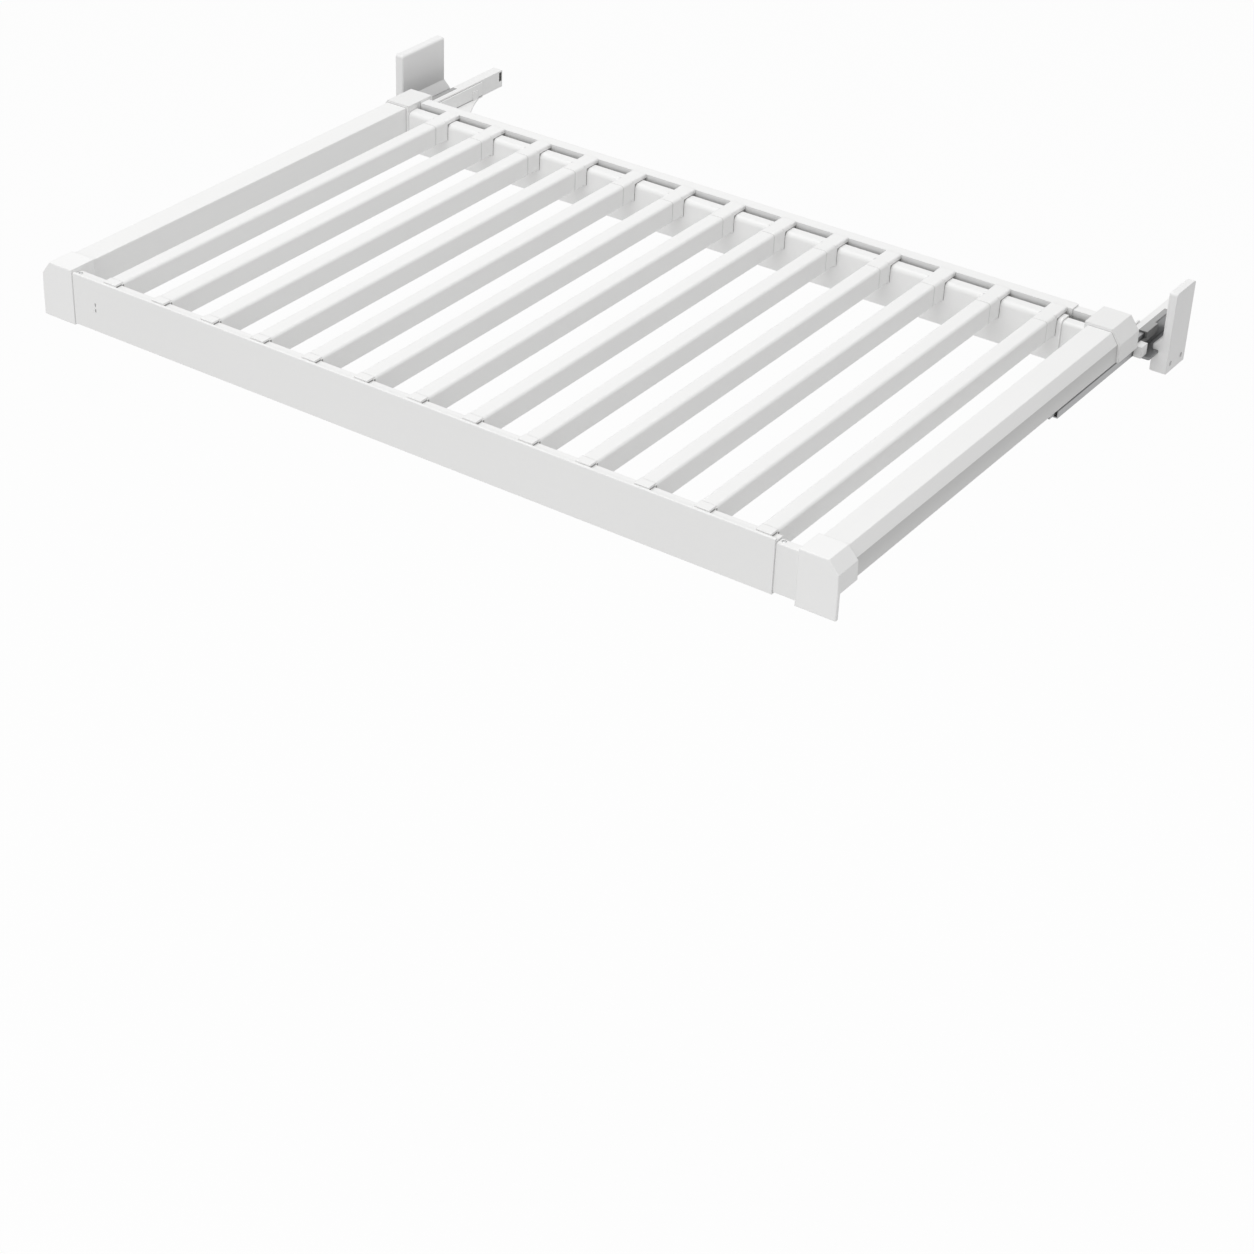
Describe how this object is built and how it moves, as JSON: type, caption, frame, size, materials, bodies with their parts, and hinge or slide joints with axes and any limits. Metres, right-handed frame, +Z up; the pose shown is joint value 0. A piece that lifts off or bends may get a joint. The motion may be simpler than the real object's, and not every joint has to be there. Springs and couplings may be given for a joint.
{
  "type": "pull-out trouser rack",
  "caption": "Pull-out wardrobe rack: a white frame, telescoping in width, carries a row of trouser rods and runs out on ball slides screwed to the cabinet sides.",
  "frame": {"origin": "on the left cabinet wall, midway between the left bracket's two wall screws", "axes": "+X to the right cabinet wall, +Y into the cabinet, +Z up"},
  "size_m": [0.814, 0.6128, 0.0749],
  "materials": {
    "rail_coat": "white powder coat, fine satin",
    "rod_coat": "white powder coat, satin",
    "corner_plastic": "moulded white, satin",
    "fitting_plastic": "moulded white, satin",
    "bracket_plastic": "moulded white, satin",
    "damper_plastic": "moulded white, satin",
    "gusset_coat": "pressed sheet steel, white powder coat",
    "slide_steel": "zinc plated, drawn",
    "cage_steel": "zinc plated",
    "strip_steel": "zinc plated flat steel",
    "screw_steel": "zinc plated"
  },
  "bodies": {
    "cabinet_left": {"bracket_screws_left": "screw_steel", "damper_housing_left": "damper_plastic", "foot_strip_left": "strip_steel", "side_bracket_left": "bracket_plastic", "slide_cabinet_left": "slide_steel"},
    "left_outer_balls": {"outer_ball_cage_left": "cage_steel"},
    "left_middle": {"slide_middle_left": "slide_steel"},
    "left_inner_balls": {"inner_ball_cage_left": "cage_steel"},
    "rack": {"back_rail_sleeve": "rail_coat", "frame_screws_left": "screw_steel", "front_corner_left": "corner_plastic", "front_rail_sleeve": "rail_coat", "rear_corner_left": "corner_plastic", "rear_gusset_left": "gusset_coat", "rod_01": "rod_coat", "rod_02": "rod_coat", "rod_03": "rod_coat", "rod_04": "rod_coat", "rod_05": "rod_coat", "rod_06": "rod_coat", "rod_07": "rod_coat", "rod_08": "rod_coat", "rod_09": "rod_coat", "rod_10": "rod_coat", "rod_11": "rod_coat", "rod_12": "rod_coat", "rod_13": "rod_coat", "rod_front_clips": "fitting_plastic", "rod_holder_01": "fitting_plastic", "rod_holder_02": "fitting_plastic", "rod_holder_03": "fitting_plastic", "rod_holder_04": "fitting_plastic", "rod_holder_05": "fitting_plastic", "rod_holder_06": "fitting_plastic", "rod_holder_07": "fitting_plastic", "rod_holder_08": "fitting_plastic", "rod_holder_09": "fitting_plastic", "rod_holder_10": "fitting_plastic", "rod_holder_11": "fitting_plastic", "rod_holder_12": "fitting_plastic", "rod_holder_13": "fitting_plastic", "side_rail_left": "rail_coat", "slide_drawer_left": "slide_steel"},
    "rack_right": {"front_rail_inner": "rail_coat", "back_bar_inner": "rail_coat", "back_strip_inner": "rail_coat", "side_rail_right": "rail_coat", "front_corner_right": "corner_plastic", "rear_corner_right": "corner_plastic", "rear_gusset_right": "gusset_coat", "slide_drawer_right": "slide_steel", "frame_screws_right": "screw_steel"},
    "right_inner_balls": {"inner_ball_cage_right": "cage_steel"},
    "right_middle": {"slide_middle_right": "slide_steel"},
    "right_outer_balls": {"outer_ball_cage_right": "cage_steel"},
    "cabinet_right": {"bracket_screws_right": "screw_steel", "damper_housing_right": "damper_plastic", "foot_strip_right": "strip_steel", "side_bracket_right": "bracket_plastic", "slide_cabinet_right": "slide_steel"}
  },
  "joints": [
    {"name": "rack_pull", "type": "slide", "parent": "cabinet_left", "child": "rack", "axis": [0, -1, 0], "range_m": [-0.02, 0.214]},
    {"name": "left_outer_balls_run", "type": "slide", "parent": "cabinet_left", "child": "left_outer_balls", "axis": [0, -1, 0], "range_m": [-0.005, 0.0535]},
    {"name": "left_middle_run", "type": "slide", "parent": "cabinet_left", "child": "left_middle", "axis": [0, -1, 0], "range_m": [-0.01, 0.107]},
    {"name": "left_inner_balls_run", "type": "slide", "parent": "cabinet_left", "child": "left_inner_balls", "axis": [0, -1, 0], "range_m": [-0.015, 0.1605]},
    {"name": "width_adjust", "type": "slide", "parent": "rack", "child": "rack_right", "axis": [1, 0, 0], "range_m": [-0.018, 0.06]},
    {"name": "right_inner_balls_run", "type": "slide", "parent": "rack_right", "child": "right_inner_balls", "axis": [0, 1, 0], "range_m": [-0.005, 0.0535]},
    {"name": "right_middle_run", "type": "slide", "parent": "rack_right", "child": "right_middle", "axis": [0, 1, 0], "range_m": [-0.01, 0.107]},
    {"name": "right_outer_balls_run", "type": "slide", "parent": "rack_right", "child": "right_outer_balls", "axis": [0, 1, 0], "range_m": [-0.015, 0.1605]},
    {"name": "right_cabinet_side", "type": "slide", "parent": "rack_right", "child": "cabinet_right", "axis": [0, 1, 0], "range_m": [-0.02, 0.214]}
  ],
  "couplings": [
    {"joint": "left_outer_balls_run", "follows": "rack_pull", "ratio": 0.25},
    {"joint": "left_middle_run", "follows": "rack_pull", "ratio": 0.5},
    {"joint": "left_inner_balls_run", "follows": "rack_pull", "ratio": 0.75},
    {"joint": "right_inner_balls_run", "follows": "rack_pull", "ratio": 0.25},
    {"joint": "right_middle_run", "follows": "rack_pull", "ratio": 0.5},
    {"joint": "right_outer_balls_run", "follows": "rack_pull", "ratio": 0.75},
    {"joint": "right_cabinet_side", "follows": "rack_pull", "ratio": 1}
  ]
}
